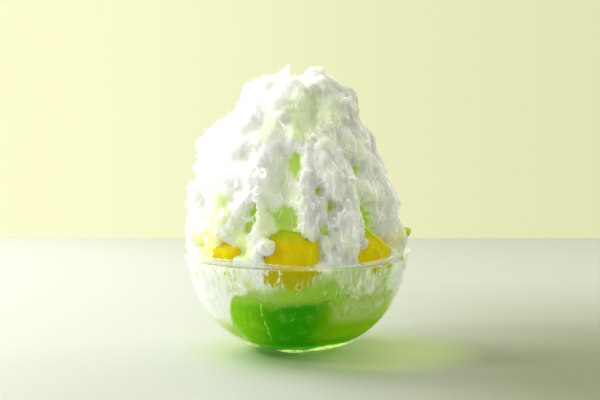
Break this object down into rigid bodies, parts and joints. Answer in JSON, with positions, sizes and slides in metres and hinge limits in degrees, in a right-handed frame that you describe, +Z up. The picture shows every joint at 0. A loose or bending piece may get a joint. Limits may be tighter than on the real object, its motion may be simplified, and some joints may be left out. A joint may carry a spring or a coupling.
{
  "type": "shaved ice dessert in a glass bowl",
  "caption": "Shaved ice heaped high in a round rippled glass bowl, over green melon syrup, with golden mango slices set round the rim.",
  "frame": {"origin": "centre of the bowl's foot, on the table", "axes": "+Z up, -Y towards the front, +X to the right seen from the front"},
  "size_m": [0.1315, 0.1321, 0.1644],
  "materials": {
    "clear_glass": "clear, with upright ripples",
    "melon_syrup": "wet, translucent green",
    "white_ice": "fluffy and wet, translucent white",
    "mango": "wet, golden yellow"
  },
  "bodies": {
    "root": {"bowl": "clear_glass", "syrup": "melon_syrup", "shaved_ice": "white_ice", "mango_slice_1": "mango", "mango_slice_2": "mango", "mango_slice_3": "mango", "mango_slice_4": "mango", "mango_slice_5": "mango", "mango_slice_6": "mango", "mango_slice_7": "mango"}
  },
  "joints": []
}
